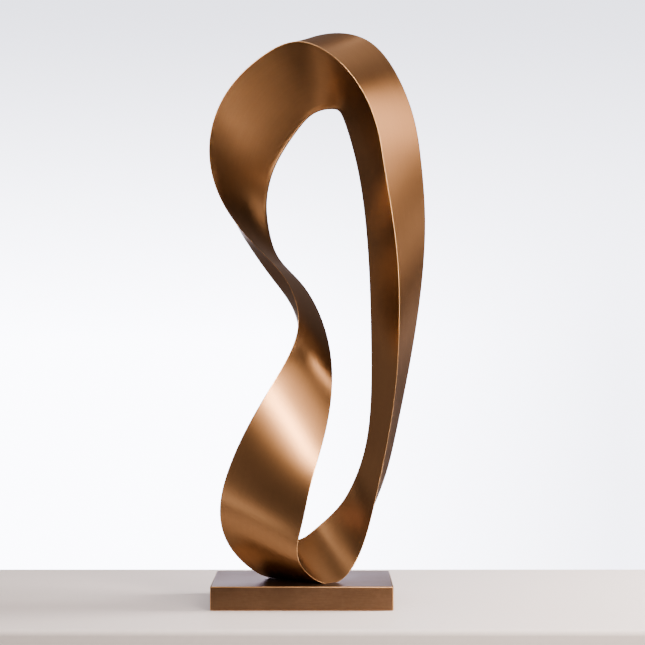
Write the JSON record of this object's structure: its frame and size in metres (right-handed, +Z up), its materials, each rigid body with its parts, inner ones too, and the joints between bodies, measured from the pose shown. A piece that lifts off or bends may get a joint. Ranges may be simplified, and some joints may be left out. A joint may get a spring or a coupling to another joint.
{
  "type": "abstract metal sculpture",
  "caption": "Tall twisted closed loop of cast bronze with a three-edged section, standing on a low rectangular bronze plinth.",
  "frame": {"origin": "middle of the plinth's underside", "axes": "+Z up along the loop's height, +X to the viewer's right, -Y towards the viewer"},
  "size_m": [0.2321, 0.13, 0.6131],
  "materials": {
    "bronze_loop": "satin brown bronze, very fine lengthwise brushing",
    "bronze_plinth": "satin brown bronze, faintly mottled"
  },
  "bodies": {
    "root": {"ribbon_loop": "bronze_loop", "plinth": "bronze_plinth"}
  },
  "joints": []
}
